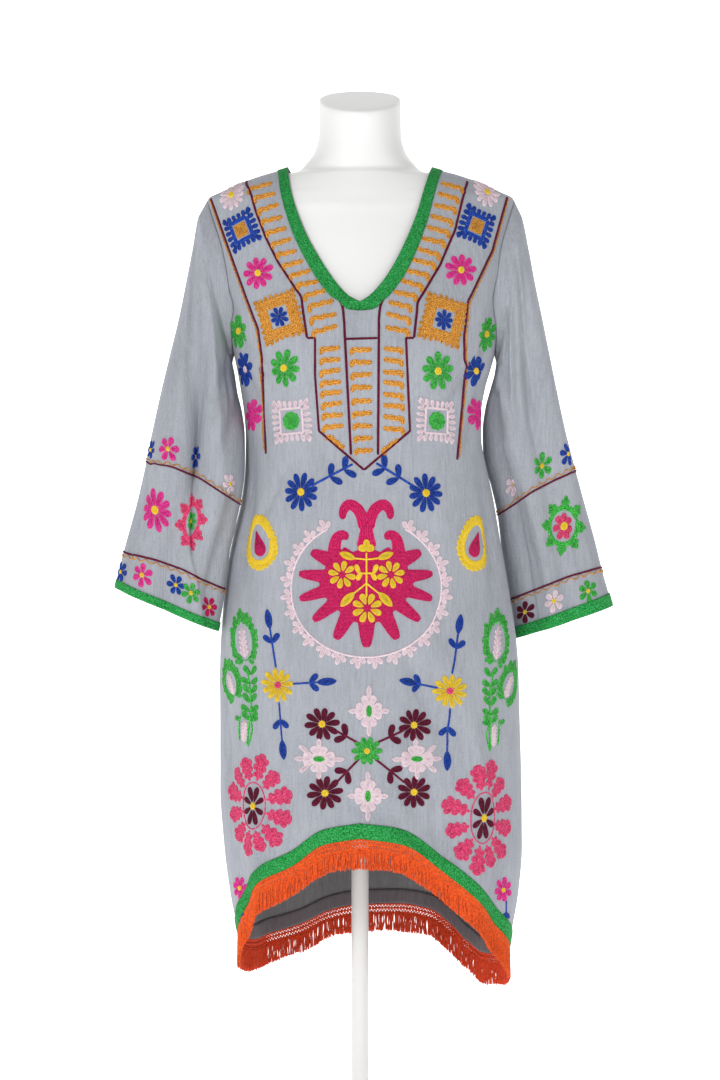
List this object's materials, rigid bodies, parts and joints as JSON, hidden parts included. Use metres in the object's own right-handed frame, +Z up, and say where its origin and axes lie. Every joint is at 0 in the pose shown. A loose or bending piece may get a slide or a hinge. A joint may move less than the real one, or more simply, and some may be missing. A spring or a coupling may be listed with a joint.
{
  "type": "tunic on dress form",
  "caption": "Knee-length V-neck tunic with long flared sleeves, arched front hem and fringe, on a headless, limbless dress form with a pole and round foot.",
  "frame": {"origin": "centre of the round foot's flat underside", "axes": "+Z up along the pole, the tunic's front faces -Y, +X is the viewer's right"},
  "size_m": [0.6392, 0.33, 1.3969],
  "materials": {
    "grey_cotton": "crinkled plain-weave cotton, matt",
    "green_band": "dense chain-stitched band",
    "dark_facing": "plain cotton facing",
    "orange_fringe": "looped cotton yarn fringe",
    "form_skin": "satin white shell",
    "stand_paint": "white paint"
  },
  "bodies": {
    "root": {"front_panel": "grey_cotton", "back_panel": "grey_cotton", "left_sleeve": "grey_cotton", "right_sleeve": "grey_cotton", "neck_band_front": "green_band", "neck_band_back": "green_band", "hem_band_front": "green_band", "hem_band_back": "green_band", "left_cuff_band": "green_band", "right_cuff_band": "green_band", "hem_facing_back": "dark_facing", "fringe_front": "orange_fringe", "fringe_back": "orange_fringe", "dress_form": "form_skin", "stand_pole": "stand_paint", "stand_foot": "stand_paint"}
  },
  "joints": []
}
